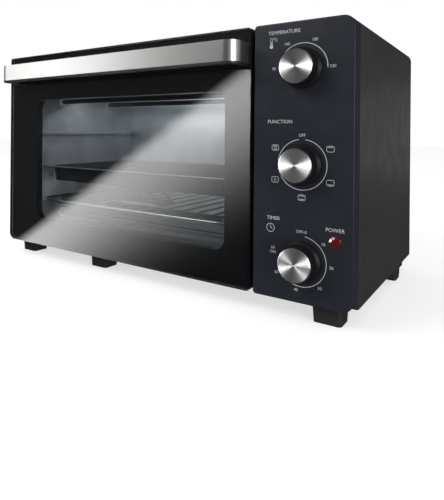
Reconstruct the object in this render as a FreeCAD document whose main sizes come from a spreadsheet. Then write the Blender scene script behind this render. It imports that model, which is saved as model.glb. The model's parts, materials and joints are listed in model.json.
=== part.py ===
import FreeCAD, Part
import math
import os
import re
import Sketcher

# A worktop mini oven with a drop-down glass door, three dials, a tray and a rack.
# Millimetres, +Z up, the door faces -Y. The origin is under the middle of the overall box,
# on the surface that the feet stand on.

Vector = FreeCAD.Vector
Rule = Sketcher.Constraint

# Every size that can be set by itself.
SIZES = {
    # overall
    "body_width": 450,
    "body_height": 241,
    "housing_depth": 226,
    "fascia_depth": 14,
    "foot_height": 17,
    "handle_reach": 25,
    "gland_reach": 9,
    # sheet metal
    "sheet": 1,
    "corner_radius": 10,
    "fit_gap": 0.5,
    "slack": 0.3,
    # cavity
    "left_space": 23,
    "right_space": 35.4,
    "cavity_drop": 38,
    "cavity_rise": 12,
    "cavity_depth": 205,
    "shield_space": 13,
    "opening_corner": 8,
    "rail_width": 7,
    "rail_thickness": 4,
    "rail_margin": 8,
    "rack_level": 37,
    "rail_pitch": 46,
    "spare_drop": 58,
    "emboss_margin": 26,
    "emboss_step": 20,
    "emboss_depth": 2,
    "emboss_corner": 18,
    # heating rods
    "element_radius": 3.2,
    "element_overhang": 8,
    "element_edge": 16,
    "element_setback": 55,
    "bushing_radius": 6,
    "bushing_length": 6,
    # door
    "panel_width": 88.6,
    "door_split": 3.7,
    "door_inset": 1.5,
    "glass_thickness": 4,
    "glass_corner": 9,
    "glass_small_corner": 3,
    "frame_wall": 2,
    "inner_sheet": 0.8,
    "window_left_border": 50,
    "window_right_border": 28.6,
    "window_low_border": 31.5,
    "window_high_border": 56.5,
    "window_corner": 12,
    "bottom_rail": 10,
    # hinge
    "hinge_radius": 4,
    "hinge_left_inset": 20,
    "hinge_right_inset": 34,
    "ear_width": 3,
    "ear_radius": 3.5,
    "pin_radius": 2,
    "pin_grip": 4,
    "running_gap": 0.05,
    "bracket_width": 16,
    "bracket_height": 10,
    "bracket_thickness": 1.5,
    "arm_width": 2,
    "arm_offset": 9,
    "arm_inner": 32,
    "arm_outer": 38,
    "arm_slot_gap": 0.7,
    # handle
    "handle_height": 19,
    "handle_drop": 14,
    "handle_left_inset": 12,
    "handle_right_inset": 3,
    "handle_bar": 7,
    "handle_corner": 12,
    "handle_plate": 1.2,
    "handle_lip": 2,
    "screw_radius": 1.6,
    "screw_head": 3.5,
    "screw_head_height": 2,
    "screw_bite": 12,
    # control panel
    "panel_wall": 2.5,
    "panel_edge": 1.2,
    "dial_inset": 45.2,
    "dial_drop": 41,
    "dial_rise": 36,
    "lamp_inset": 73.6,
    "lamp_rise": 56,
    "lamp_radius": 5.2,
    "lamp_dome": 2.2,
    "lamp_seat": 3,
    # knobs
    "knob_length": 17.4,
    "knob_gap": 0.8,
    "knob_base_radius": 17.5,
    "knob_base": 2.4,
    "knob_radius": 15.3,
    "cap_radius": 14.2,
    "cap_thickness": 1.9,
    "shaft_radius": 3,
    "shaft_grip": 9,
    "shaft_depth": 18,
    "shaft_hole_gap": 1,
    "thermostat_size": 34,
    "thermostat_depth": 24,
    "switch_size": 38,
    "switch_depth": 30,
    "timer_radius": 21,
    "timer_depth": 34,
    "bell_radius": 19,
    "bell_depth": 10,
    # feet
    "foot_length": 26,
    "foot_width": 23,
    "foot_flange": 3,
    "foot_lip": 2,
    "foot_corner": 4,
    "foot_left_inset": 4,
    "foot_right_inset": 2,
    "foot_panel_inset": 12,
    "foot_front_setback": 14,
    "foot_forward": 7,
    "foot_rear_setback": 54,
    "middle_foot_offset": 149,
    "foot_screw_radius": 2,
    "foot_screw_head": 4,
    "foot_screw_clear": 5,
    "foot_screw_seat": 9,
    "foot_screw_head_height": 3,
    "foot_screw_reach": 6,
    # back
    "vent_length": 40,
    "vent_width": 4,
    "vent_pitch": 9,
    "vent_edge": 34,
    "back_screw_inset": 9,
    "gland_inset": 36,
    "gland_rise": 32,
    "gland_radius": 9,
    "gland_neck": 6,
    "gland_bore": 3.6,
    "terminal_length": 34,
    "terminal_height": 12,
    "terminal_depth": 14,
    # accessories
    "side_gap": 1.5,
    "front_gap": 11,
    "back_gap": 6,
    "tray_sheet": 1,
    "tray_rim": 9,
    "tray_depth": 19,
    "tray_corner": 16,
    "tray_pillow": 14,
    "tray_pillow_height": 2,
    "rack_wire": 2,
    "cross_wire": 1.25,
    "rack_corner": 18,
    "notch_offset": 16,
    "notch_width": 6,
    "notch_depth": 5,
    "grip_wire": 2,
    "grip_length": 96,
    "grip_width": 26,
    "hook_width": 60,
    "hook_length": 34,
    "hook_height": 14,
}

# Places worked out from the sizes.
PLACES = {
    "left": "-body_width/2",
    "right": "body_width/2",
    "low": "foot_height",
    "high": "foot_height + body_height",
    "front": "handle_reach - (handle_reach + fascia_depth + housing_depth + gland_reach)/2",
    "frame_face": "front + fascia_depth",
    "frame_back": "frame_face + sheet",
    "rear": "frame_face + housing_depth",
    "inner_left": "left + sheet",
    "inner_right": "right - sheet",
    "inner_high": "high - sheet",
    "floor_top": "low + sheet",
    "back_face": "rear - sheet",
    # cavity: the outer faces of its walls
    "cavity_left": "left + left_space",
    "cavity_right": "panel_left - right_space",
    "cavity_low": "low + cavity_rise",
    "cavity_high": "high - cavity_drop",
    "cavity_back": "frame_back + cavity_depth",
    "room_left": "cavity_left + sheet",
    "room_right": "cavity_right - sheet",
    "room_low": "cavity_low + sheet",
    "room_high": "cavity_high - sheet",
    "room_back": "cavity_back - sheet",
    "shield_left": "cavity_right + shield_space",
    "rack_rail": "room_low + rack_level",
    "tray_rail": "rack_rail + rail_pitch",
    "spare_rail": "room_high - spare_drop",
    "element_low": "room_low + element_edge",
    "element_high": "room_high - element_edge",
    "element_front": "frame_back + element_setback",
    "element_rear": "room_back - element_setback",
    # door
    "panel_left": "right - panel_width",
    "door_left": "left + door_inset",
    "door_right": "panel_left - door_split",
    "door_low": "low + fit_gap",
    "door_high": "high - fit_gap",
    "glass_back": "front + glass_thickness",
    "frame_plate": "glass_back + frame_wall",
    "door_back": "frame_face - fit_gap",
    "sheet_front": "door_back - inner_sheet",
    "window_left": "door_left + window_left_border",
    "window_right": "door_right - window_right_border",
    "window_low": "door_low + window_low_border",
    "window_high": "door_high - window_high_border",
    "hinge_y": "door_back - hinge_radius",
    "hinge_z": "door_low + hinge_radius",
    "hinge_left": "door_left + hinge_left_inset",
    "hinge_right": "door_right - hinge_right_inset",
    "arm_left": "cavity_left - arm_offset",
    "arm_right": "cavity_right + arm_offset",
    # handle
    "tip": "front - handle_reach",
    "grip_left": "door_left + handle_left_inset",
    "grip_right": "door_right - handle_right_inset",
    "grip_high": "high - handle_drop",
    "grip_low": "grip_high - handle_height - handle_lip",
    "grip_middle": "grip_high - handle_height/2",
    "screw_left": "grip_left + (handle_bar + handle_plate)/2",
    "screw_right": "grip_right - (handle_bar + handle_plate)/2",
    # controls
    "dial_x": "panel_left + dial_inset",
    "temperature_z": "high - dial_drop",
    "timer_z": "low + dial_rise",
    "function_z": "(temperature_z + timer_z)/2",
    "lamp_x": "panel_left + lamp_inset",
    "lamp_z": "low + lamp_rise",
    # feet, back and accessories
    "foot_left_x": "left + foot_left_inset + foot_length/2 + foot_lip",
    "foot_right_x": "right - foot_right_inset - foot_length/2",
    "foot_panel_x": "right - foot_panel_inset - foot_length/2",
    "foot_middle_x": "left + middle_foot_offset",
    "foot_front_y": "frame_back + foot_front_setback",
    "foot_panel_y": "foot_front_y - foot_forward",
    "foot_rear_y": "rear - foot_rear_setback",
    "gland_x": "right - gland_inset",
    "gland_z": "low + gland_rise",
    "tray_left": "room_left + side_gap",
    "tray_right": "room_right - side_gap",
    "tray_front": "frame_back + front_gap",
    "tray_rear": "room_back - back_gap",
    "tray_low": "tray_rail + slack",
    "tray_high": "tray_low + tray_sheet",
    "rack_z": "rack_rail + slack + rack_wire",
    "grip_x": "(tray_left + tray_right)/2",
    "grip_y": "tray_front + 2*rack_corner",
    "grip_z": "rack_z + cross_wire + grip_wire",
}

doc = FreeCAD.newDocument("MiniOven")
sheet = doc.addObject("Spreadsheet::Sheet", "Sizes")
for row, (name, size) in enumerate(SIZES.items(), 1):
    sheet.set(f"A{row}", name)
    sheet.set(f"B{row}", str(size))
    sheet.setAlias(f"B{row}", name)
doc.recompute()

pieces = []


def spell(text):
    """Write a formula out in the sheet's own cells."""
    def word(match):
        name = match.group(0)
        if name in PLACES:
            return "(" + spell(PLACES[name]) + ")"
        if name in SIZES:
            return "Sizes." + name
        return name
    return re.sub(r"[a-z][a-z_]*", word, text)


def number(text):
    """The value of a formula, in millimetres."""
    return float(sheet.evalExpression(spell(text)))


def tie(thing, target, text):
    """Bind one property of an object to a formula."""
    thing.setExpression(target, spell(text))


def piece(thing):
    """Count an object as one of the real pieces, which are written out at the end."""
    pieces.append(thing)
    return thing


# ---------------------------------------------------------------- sketches and features


class Drawing:
    """The lines, arcs and rules of one sketch, which go into it together."""

    def __init__(self):
        self.shapes = []
        self.rules = []
        self.ties = []

    def measure(self, kind, refs, text):
        self.ties.append((len(self.rules), text))
        self.rules.append(Rule(kind, *refs, number(text)))

    def fix(self, shape, point, x, y):
        self.measure("DistanceX", (-1, 1, shape, point), x)
        self.measure("DistanceY", (-1, 1, shape, point), y)

    def circle(self, x, y, radius):
        centre = Vector(number(x), number(y), 0)
        self.shapes.append(Part.Circle(centre, Vector(0, 0, 1), number(radius)))
        shape = len(self.shapes) - 1
        self.fix(shape, 3, x, y)
        self.measure("Radius", (shape,), radius)
        return self

    def rectangle(self, left, right, low, high, *corners):
        """Corner radii go round from the lower left; one alone serves for all four."""
        radii = corners * 4 if len(corners) == 1 else corners or (None,) * 4
        spots = ((left, low), (right, low), (right, high), (left, high))
        return self.outline([(*spot, radius) for spot, radius in zip(spots, radii)])

    def outline(self, corners, closed=True):
        """Straight runs; a rounded corner must lie between two runs along the axes."""
        count = len(corners)
        first = len(self.shapes)
        spots = [Vector(number(x), number(y), 0) for x, y, _ in corners]
        before, after, centres = [], [], []
        for index, (x, y, radius) in enumerate(corners):
            if radius is None:
                before.append((x, y))
                after.append((x, y))
                centres.append(None)
                continue
            back = (spots[index - 1] - spots[index]).normalize()
            ahead = (spots[(index + 1) % count] - spots[index]).normalize()
            before.append(self.moved(x, y, back, radius))
            after.append(self.moved(x, y, ahead, radius))
            centres.append(spots[index] + (back + ahead) * number(radius))
        runs = range(count if closed else count - 1)
        ends = [(self.spot(after[i]), self.spot(before[(i + 1) % count])) for i in runs]
        self.shapes += [Part.LineSegment(start, end) for start, end in ends]
        for index in runs:
            following = (index + 1) % count
            self.fix(first + index, 1, *after[index])
            if centres[following] is None and following in runs:
                self.rules.append(Rule("Coincident", first + index, 2, first + following, 1))
            else:
                self.fix(first + index, 2, *before[following])
        for index, centre in enumerate(centres):
            if centre is not None:
                self.corner(first, index, count, ends, centre, corners[index][2])
        return self

    def chain(self, points):
        """An open line of straight runs."""
        return self.outline([(*point, None) for point in points], closed=False)

    def corner(self, first, index, count, ends, centre, radius):
        """The arc between the line that arrives at a corner and the one that leaves it."""
        arriving = (index - 1) % count
        enter = ends[arriving][1] - centre
        leave = ends[index][0] - centre
        joins = [(enter, first + arriving, 2), (leave, first + index, 1)]
        if enter.cross(leave).z < 0:
            joins.reverse()
        angles = [math.atan2(join[0].y, join[0].x) for join in joins]
        if angles[1] < angles[0]:
            angles[1] += 2 * math.pi
        circle = Part.Circle(centre, Vector(0, 0, 1), number(radius))
        self.shapes.append(Part.ArcOfCircle(circle, *angles))
        arc = len(self.shapes) - 1
        for point, (_, line, end) in enumerate(joins, 1):
            self.rules.append(Rule("Coincident", arc, point, line, end))
        self.measure("Radius", (arc,), radius)

    @staticmethod
    def moved(x, y, way, distance):
        """A corner's formulas, moved along an axis."""
        if abs(way.x) > 0.5:
            return (f"{x} + {round(way.x)}*({distance})", y)
        return (x, f"{y} + {round(way.y)}*({distance})")

    @staticmethod
    def spot(place):
        return Vector(number(place[0]), number(place[1]), 0)


def new_body(label, x="0", y="0", z="0"):
    """A solid built of features, with its origin at the given place."""
    body = doc.addObject("PartDesign::Body", label)
    body.Label = label
    for axis, place in zip("xyz", (x, y, z)):
        tie(body, f".Placement.Base.{axis}", place)
    return piece(body)


def own(body, role):
    """One of the body's own planes or axes."""
    return next(item for item in body.Origin.OriginFeatures if item.Role == role)


def sketch(body, plane, at, drawing):
    """Put a drawing on a plane across X, Y or Z; across Y, it is seen from the front."""
    roles = {"x": "YZ_Plane", "y": "XZ_Plane", "z": "XY_Plane"}
    result = body.newObject("Sketcher::SketchObject", body.Label + "_sketch")
    result.AttachmentSupport = [(own(body, roles[plane]), "")]
    result.MapMode = "FlatFace"
    tie(result, ".AttachmentOffset.Base.z", f"-1*({at})" if plane == "y" else at)
    result.addGeometry(drawing.shapes, False)
    result.addConstraint(drawing.rules)
    for index, text in drawing.ties:
        tie(result, f"Constraints[{index}]", text)
    doc.recompute()
    return result


def pad(body, plane, start, length, drawing, way=1, taper=0):
    """Add material from a plane, towards + or - along the axis it lies across."""
    profile = sketch(body, plane, start, drawing)
    feature = body.newObject("PartDesign::Pad", body.Label + "_pad")
    feature.Profile = profile
    tie(feature, "Length", length)
    feature.Reversed = (way < 0) != (plane == "y")
    feature.TaperAngle = taper
    doc.recompute()
    return feature


def pocket(body, plane, start, length, drawing, way=1, taper=0):
    """Cut away from a plane, and make sure that something was cut."""
    profile = sketch(body, plane, start, drawing)
    volume = body.Shape.Volume
    feature = body.newObject("PartDesign::Pocket", body.Label + "_pocket")
    feature.Profile = profile
    tie(feature, "Length", length)
    feature.Reversed = (way > 0) != (plane == "y")
    feature.TaperAngle = taper
    doc.recompute()
    if body.Shape.Volume > volume - 0.01:
        raise RuntimeError(f"{body.Label}: a pocket cuts nothing")
    return feature


def pattern(body, features, axis, length, count):
    """Repeat features along an axis of the body."""
    result = body.newObject("PartDesign::LinearPattern", body.Label + "_row")
    result.Originals = features
    result.Direction = (own(body, axis + "_Axis"), [""])
    tie(result, "Length", length)
    result.Occurrences = count
    body.Tip = result
    doc.recompute()
    return result


def turned(body, points):
    """A solid of revolution about the body's Y axis; points are (radius, y)."""
    profile = sketch(body, "z", "0", Drawing().outline([(*point, None) for point in points]))
    feature = body.newObject("PartDesign::Revolution", body.Label + "_turned")
    feature.Profile = profile
    feature.ReferenceAxis = (own(body, "Y_Axis"), [""])
    feature.Angle = 360
    doc.recompute()
    return feature


def rounded(body, radius, chosen):
    """Round the edges that the test picks."""
    tip = body.Tip
    names = [f"Edge{index}" for index, edge in enumerate(tip.Shape.Edges, 1) if chosen(edge)]
    feature = body.newObject("PartDesign::Fillet", body.Label + "_round")
    feature.Base = (tip, names)
    tie(feature, "Radius", radius)
    doc.recompute()
    return feature


def in_plane(axis, place):
    """A test for edges that lie in a plane across an axis."""
    value = number(place)

    def test(edge):
        box = edge.BoundBox
        low, high = getattr(box, axis + "Min"), getattr(box, axis + "Max")
        return abs(low - value) < 0.01 and abs(high - value) < 0.01
    return test


def pipe(body, plane, start, path, closed, radius, side, middle, bend="Round corner"):
    """A round wire along a path; side is the plane that cuts it, at the path's first point."""
    spine = sketch(body, plane, start, path)
    profile = sketch(body, side, middle[0], Drawing().circle(middle[1], middle[2], radius))
    feature = body.newObject("PartDesign::AdditivePipe", body.Label + "_wire")
    feature.Profile = profile
    feature.Spine = (spine, [f"Edge{index}" for index in range(1, len(path.shapes) + 1)])
    if not closed:
        feature.Transition = bend
    doc.recompute()
    return feature


# ---------------------------------------------------------------- plain solids


def block(label, left, right, near, far, low, high):
    box = doc.addObject("Part::Box", label)
    sides = (("Length", left, right), ("Width", near, far), ("Height", low, high))
    for axis, (side, start, end) in zip("xyz", sides):
        tie(box, side, f"({end}) - ({start})")
        tie(box, f".Placement.Base.{axis}", start)
    return box


def rod(label, along, x, y, z, radius, length):
    turns = {"x": FreeCAD.Rotation(Vector(0, 1, 0), 90), "z": FreeCAD.Rotation()}
    turns["y"] = FreeCAD.Rotation(Vector(1, 0, 0), -90)
    cylinder = doc.addObject("Part::Cylinder", label)
    cylinder.Placement.Rotation = turns[along]
    for axis, place in zip("xyz", (x, y, z)):
        tie(cylinder, f".Placement.Base.{axis}", place)
    tie(cylinder, "Radius", radius)
    tie(cylinder, "Height", length)
    return cylinder


def joined(label, things):
    result = doc.addObject("Part::MultiFuse", label)
    result.Label = label
    result.Shapes = things
    return result


def without(label, base, tools):
    result = doc.addObject("Part::Cut", label)
    result.Label = label
    result.Base = base
    result.Tool = tools[0] if len(tools) == 1 else joined(label + "_tools", tools)
    return result


# ---------------------------------------------------------------- cabinet


def outer_housing():
    """One sheet folded over the top and down both sides."""
    body = new_body("outer_housing")
    radius = "corner_radius"
    inside = "corner_radius - sheet"
    fold = Drawing().outline([
        ("left", "low", None),
        ("inner_left", "low", None),
        ("inner_left", "inner_high", inside),
        ("inner_right", "inner_high", inside),
        ("inner_right", "low", None),
        ("right", "low", None),
        ("right", "high", radius),
        ("left", "high", radius),
    ])
    pad(body, "y", "frame_back", "rear - frame_back", fold)


def base_plate():
    """The floor sheet between the housing's sides, with vents and screw holes."""
    body = new_body("base_plate")
    outline = Drawing().rectangle("inner_left", "inner_right", "frame_back", "back_face")
    pad(body, "z", "low", "sheet", outline)
    holes = Drawing()
    for x, y in foot_places().values():
        holes.circle(x, y, "foot_screw_radius")
    pocket(body, "z", "floor_top", "sheet", holes, way=-1)
    start = "shield_left + vent_pitch"
    slot = Drawing().rectangle(start, f"{start} + vent_width", "-vent_length/2", "vent_length/2")
    first = pocket(body, "z", "floor_top", "sheet", slot, way=-1)
    pattern(body, [first], "X", "vent_pitch*8", 9)


def back_panel():
    """The rear sheet, with two columns of louvres, the gland's hole and its screw holes."""
    body = new_body("back_panel")
    inside = "corner_radius - sheet"
    outline = Drawing().rectangle("inner_left", "inner_right", "low", "inner_high",
                                  None, None, inside, inside)
    pad(body, "y", "back_face", "sheet", outline)
    holes = Drawing().circle("gland_x", "gland_z", "gland_neck")
    for x, z in back_screw_places():
        holes.circle(x, z, "screw_radius")
    pocket(body, "y", "back_face", "sheet", holes)
    for middle in ("-body_width/5", "(shield_left + inner_right)/2"):
        start = "inner_high - vent_edge"
        slot = Drawing().rectangle(f"{middle} - vent_length/2", f"{middle} + vent_length/2",
                                   f"{start} - vent_width", start)
        first = pocket(body, "y", "back_face", "sheet", slot)
        row = pattern(body, [first], "Z", "vent_pitch*7", 8)
        row.Reversed = True
        doc.recompute()


def back_screw_places():
    """The screws go round the panel's edge, a little way in."""
    columns = ("inner_left + back_screw_inset", "0", "inner_right - back_screw_inset")
    rows = ("low + back_screw_inset", "inner_high - back_screw_inset")
    return [(x, z) for x in columns for z in rows]


def back_panel_screws():
    parts = []
    for x, z in back_screw_places():
        parts.append(rod("back_screw_head", "y", x, "rear", z, "screw_head", "screw_head_height"))
        parts.append(rod("back_screw", "y", x, "back_face - 4*sheet", z, "screw_radius",
                         "5*sheet"))
    piece(joined("back_panel_screws", parts))


def front_frame():
    """The sheet that the cavity opens through, behind the door and the control panel."""
    body = new_body("front_frame")
    inside = "corner_radius - sheet"
    outline = Drawing().rectangle("inner_left", "inner_right", "low", "inner_high",
                                  None, None, inside, inside)
    outline.rectangle("room_left", "room_right", "room_low", "room_high", "opening_corner")
    pad(body, "y", "frame_face", "sheet", outline)
    holes = Drawing()
    for z in ("temperature_z", "function_z", "timer_z"):
        holes.circle("dial_x", z, "shaft_radius + shaft_hole_gap")
    for x in ("hinge_left", "hinge_right"):
        holes.rectangle(f"{x} - ear_width/2", f"{x} + ear_width/2",
                        "hinge_z - ear_radius", "hinge_z + ear_radius")
    for x in ("arm_left", "arm_right"):
        holes.rectangle(f"{x} - arm_width/2 - arm_slot_gap", f"{x} + arm_width/2 + arm_slot_gap",
                        "hinge_z + arm_inner - 2*arm_slot_gap", "hinge_z + arm_outer + arm_slot_gap")
    pocket(body, "y", "frame_face", "sheet", holes)


def heat_shield():
    """The upright sheet between the cavity and the controls."""
    piece(block("heat_shield", "shield_left", "shield_left + sheet", "frame_back", "back_face",
                "floor_top", "inner_high"))


def cavity_walls():
    """The cavity is five sheets; its side walls hold the bushings of the heating rods."""
    for label, start in (("cavity_left_wall", "cavity_left"), ("cavity_right_wall", "room_right")):
        body = new_body(label)
        outline = Drawing().rectangle("frame_back", "room_back", "room_low", "room_high")
        pad(body, "x", start, "sheet", outline)
        holes = Drawing()
        for y, z in element_places().values():
            holes.circle(y, z, "bushing_radius")
        pocket(body, "x", start, "sheet", holes)
    piece(block("cavity_floor", "cavity_left", "cavity_right", "frame_back", "room_back",
                "cavity_low", "room_low"))
    piece(block("cavity_roof", "cavity_left", "cavity_right", "frame_back", "room_back",
                "room_high", "cavity_high"))
    back = new_body("cavity_back")
    outline = Drawing().rectangle("cavity_left", "cavity_right", "cavity_low", "cavity_high")
    pad(back, "y", "room_back", "sheet", outline)
    for step in (0, 1):
        inset = f"emboss_margin + {step}*emboss_step"
        raised = Drawing().rectangle(
            f"cavity_left + {inset}", f"cavity_right - ({inset})",
            f"cavity_low + {inset}", f"cavity_high - ({inset})", "emboss_corner")
        pad(back, "y", f"room_back - {step}*emboss_depth", "emboss_depth", raised, way=-1)


def rack_rails():
    """Three ledges welded to each side wall."""
    sides = {
        "rack_rails_left": ("room_left", "room_left + rail_width"),
        "rack_rails_right": ("room_right - rail_width", "room_right"),
    }
    for label, (start, end) in sides.items():
        bars = []
        for level in ("rack_rail", "tray_rail", "spare_rail"):
            bars.append(block(label + "_bar", start, end, "frame_back + rail_margin",
                              "room_back - rail_margin", f"{level} - rail_thickness", level))
        piece(joined(label, bars))


def element_places():
    """Where the four heating rods cross the cavity: (y, z)."""
    return {
        "upper_front_element": ("element_front", "element_high"),
        "upper_rear_element": ("element_rear", "element_high"),
        "lower_front_element": ("element_front", "element_low"),
        "lower_rear_element": ("element_rear", "element_low"),
    }


def heating_elements():
    """Straight sheathed rods in ceramic bushings."""
    collars = []
    bores = []
    for label, (y, z) in element_places().items():
        piece(rod(label, "x", "cavity_left - element_overhang", y, z, "element_radius",
                  "cavity_right - cavity_left + 2*element_overhang"))
        for wall in ("cavity_left + sheet/2", "cavity_right - sheet/2"):
            start = f"{wall} - bushing_length/2"
            collars.append(rod("bushing", "x", start, y, z, "bushing_radius", "bushing_length"))
            bores.append(rod("bushing_bore", "x", start, y, z, "element_radius", "bushing_length"))
    piece(without("element_bushings", joined("bushing_collars", collars), bores))


def foot_places():
    """The middle of each foot: (x, y). A third front foot stands under the door, and the one
    under the control panel stands further forward than the door's swing lets the others."""
    return {
        "foot_front_left": ("foot_left_x", "foot_front_y"),
        "foot_front_middle": ("foot_middle_x", "foot_front_y"),
        "foot_front_right": ("foot_panel_x", "foot_panel_y"),
        "foot_rear_left": ("foot_left_x", "foot_rear_y"),
        "foot_rear_right": ("foot_right_x", "foot_rear_y"),
    }


def feet():
    """Tapered blocks with a flange at the top, each held by a screw from below."""
    screws = []
    for label, (x, y) in foot_places().items():
        body = new_body(label, x, y)
        half, side = "foot_length/2", "foot_width/2"
        flange = Drawing().rectangle(f"-({half} + foot_lip)", f"{half} + foot_lip",
                                     f"-({side} + foot_lip)", f"{side} + foot_lip", "foot_corner")
        pad(body, "z", "foot_height - foot_flange", "foot_flange", flange)
        block_ = Drawing().rectangle(f"-{half}", half, f"-{side}", side, "foot_corner")
        pad(body, "z", "foot_height - foot_flange", "foot_height - foot_flange", block_,
            way=-1, taper=-4)
        recess = Drawing().circle("0", "0", "foot_screw_clear")
        pocket(body, "z", "0", "foot_screw_seat", recess)
        hole = Drawing().circle("0", "0", "foot_screw_radius")
        pocket(body, "z", "0", "foot_height", hole)
        head_low = "foot_screw_seat - foot_screw_head_height"
        screws.append(rod("foot_screw_head", "z", x, y, head_low, "foot_screw_head",
                          "foot_screw_head_height"))
        screws.append(rod("foot_screw", "z", x, y, "foot_screw_seat", "foot_screw_radius",
                          "foot_height - foot_screw_seat + foot_screw_reach"))
    piece(joined("foot_screws", screws))


def cord_gland():
    """A moulded grommet through the back panel, bored for the supply cord."""
    body = new_body("cord_gland", "gland_x", "rear", "gland_z")
    turned(body, [
        ("gland_bore", "gland_reach"),
        ("gland_bore", "-4*sheet"),
        ("gland_radius - sheet", "-4*sheet"),
        ("gland_radius - sheet", "-sheet"),
        ("gland_neck", "-sheet"),
        ("gland_neck", "0"),
        ("gland_radius", "0"),
        ("gland_radius", "2*sheet"),
        ("gland_neck", "gland_reach"),
    ])


def terminal_block():
    """Where the supply wires end, on the inside of the back panel."""
    piece(block("terminal_block", "shield_left + shield_space",
                "shield_left + shield_space + terminal_length",
                "back_face - terminal_depth", "back_face",
                "gland_z", "gland_z + terminal_height"))


# ---------------------------------------------------------------- door


def door_glass():
    """The full pane over the front of the door, drilled for the handle screws."""
    body = new_body("door_glass")
    small = "glass_small_corner"
    pane = Drawing().rectangle("door_left", "door_right", "door_low", "door_high",
                               "glass_corner", small, small, small)
    pad(body, "y", "front", "glass_thickness", pane)
    pocket(body, "y", "front", "glass_thickness", handle_holes("screw_radius"))


def handle_holes(radius):
    holes = Drawing()
    for x in ("screw_left", "screw_right"):
        holes.circle(x, "grip_middle", radius)
    return holes


def door_frame():
    """A moulded frame, hollow behind, round the window; its bottom rail carries the pins."""
    body = new_body("door_frame")
    small = "glass_small_corner"
    outline = Drawing().rectangle("door_left", "door_right", "door_low", "door_high",
                                  "glass_corner", small, small, small)
    outline.rectangle("window_left", "window_right", "window_low", "window_high",
                      "window_corner")
    pad(body, "y", "glass_back", "sheet_front - glass_back", outline)
    hollow = Drawing().rectangle(
        "door_left + frame_wall", "door_right - frame_wall",
        "door_low + bottom_rail", "door_high - frame_wall")
    hollow.rectangle(
        "window_left - frame_wall", "window_right + frame_wall",
        "window_low - frame_wall", "window_high + frame_wall", "window_corner + frame_wall")
    pocket(body, "y", "frame_plate", "sheet_front - frame_plate", hollow)
    pocket(body, "y", "glass_back", "frame_wall", handle_holes("screw_radius"))
    # The lower rear edge is cut back, so that it clears the front frame as it turns.
    bevel = Drawing().outline([
        ("sheet_front", "door_low", None),
        ("sheet_front", "door_low + hinge_radius/2", None),
        ("sheet_front - hinge_radius/2", "door_low", None),
    ])
    pocket(body, "x", "door_left", "door_right - door_left", bevel)
    for x in ("hinge_left", "hinge_right"):
        notch = Drawing().rectangle(
            "hinge_y - hinge_radius - fit_gap", "sheet_front",
            "door_low", "hinge_z + hinge_radius + fit_gap")
        start = f"{x} - ear_width/2 - fit_gap"
        pocket(body, "x", start, "ear_width + 2*fit_gap", notch)
        bore = Drawing().circle("hinge_y", "hinge_z", "pin_radius")
        start = f"{x} - ear_width/2 - fit_gap - pin_grip"
        pocket(body, "x", start, "ear_width + 2*fit_gap + 2*pin_grip", bore)


def door_inner_panel():
    """The steel sheet that closes the frame's back, with slots for the stop arms."""
    body = new_body("door_inner_panel")
    outline = Drawing().rectangle(
        "door_left + frame_wall/2", "door_right - frame_wall/2",
        "hinge_z + hinge_radius + 2*fit_gap", "door_high - frame_wall/2", "glass_small_corner")
    outline.rectangle("window_left", "window_right", "window_low", "window_high", "window_corner")
    pad(body, "y", "sheet_front", "inner_sheet", outline)
    slots = Drawing()
    for x in ("arm_left", "arm_right"):
        slots.rectangle(f"{x} - arm_width/2", f"{x} + arm_width/2",
                        "hinge_z + arm_inner - arm_slot_gap", "hinge_z + arm_outer + arm_slot_gap")
    pocket(body, "y", "sheet_front", "inner_sheet", slots)


def hinge_parts():
    """Each lower corner turns on a pin, in an ear that stands out through the front frame."""
    for side in ("left", "right"):
        x = "hinge_" + side
        piece(rod("door_pin_" + side, "x", f"{x} - ear_width/2 - fit_gap - pin_grip",
                  "hinge_y", "hinge_z", "pin_radius", "ear_width + 2*fit_gap + 2*pin_grip"))
        start = f"{x} - ear_width/2"
        end = f"{x} + ear_width/2"
        tongue = block("ear_tongue", start, end, "hinge_y", "frame_back",
                       "hinge_z - ear_radius", "hinge_z + ear_radius")
        nose = rod("ear_nose", "x", start, "hinge_y", "hinge_z", "ear_radius", "ear_width")
        plate = block("ear_plate", f"{x} - bracket_width/2", f"{x} + bracket_width/2",
                      "frame_back", "frame_back + bracket_thickness",
                      "floor_top", "floor_top + bracket_height")
        hole = rod("ear_hole", "x", start, "hinge_y", "hinge_z", "pin_radius + running_gap",
                   "ear_width")
        solid = joined("hinge_ear_" + side, [tongue, nose, plate])
        piece(without("hinge_bracket_" + side, solid, [hole]))


def stop_arms():
    """Curved arms, centred on the hinge, that follow the door out through the front frame."""
    first_angle, last_angle = -3, 93
    for side in ("left", "right"):
        x = f"arm_{side} - arm_width/2"
        ring = rod("arm_ring", "x", x, "hinge_y", "hinge_z", "arm_outer", "arm_width")
        core = rod("arm_core", "x", x, "hinge_y", "hinge_z", "arm_inner", "arm_width")
        # A cylinder along X starts its own angle on -Z and goes round towards +Y.
        ring.Angle = last_angle - first_angle
        turn = FreeCAD.Rotation(Vector(1, 0, 0), 90 + first_angle)
        ring.Placement.Rotation = turn.multiply(ring.Placement.Rotation)
        curve = without("arm_curve_" + side, ring, [core])
        flange = block("arm_flange", f"arm_{side} - 1.5*arm_width", f"arm_{side} + 1.5*arm_width",
                       "sheet_front - 1.5*inner_sheet", "sheet_front",
                       "hinge_z + arm_inner - arm_width", "hinge_z + arm_outer + arm_width")
        piece(joined("door_arm_" + side, [curve, flange]))


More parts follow.
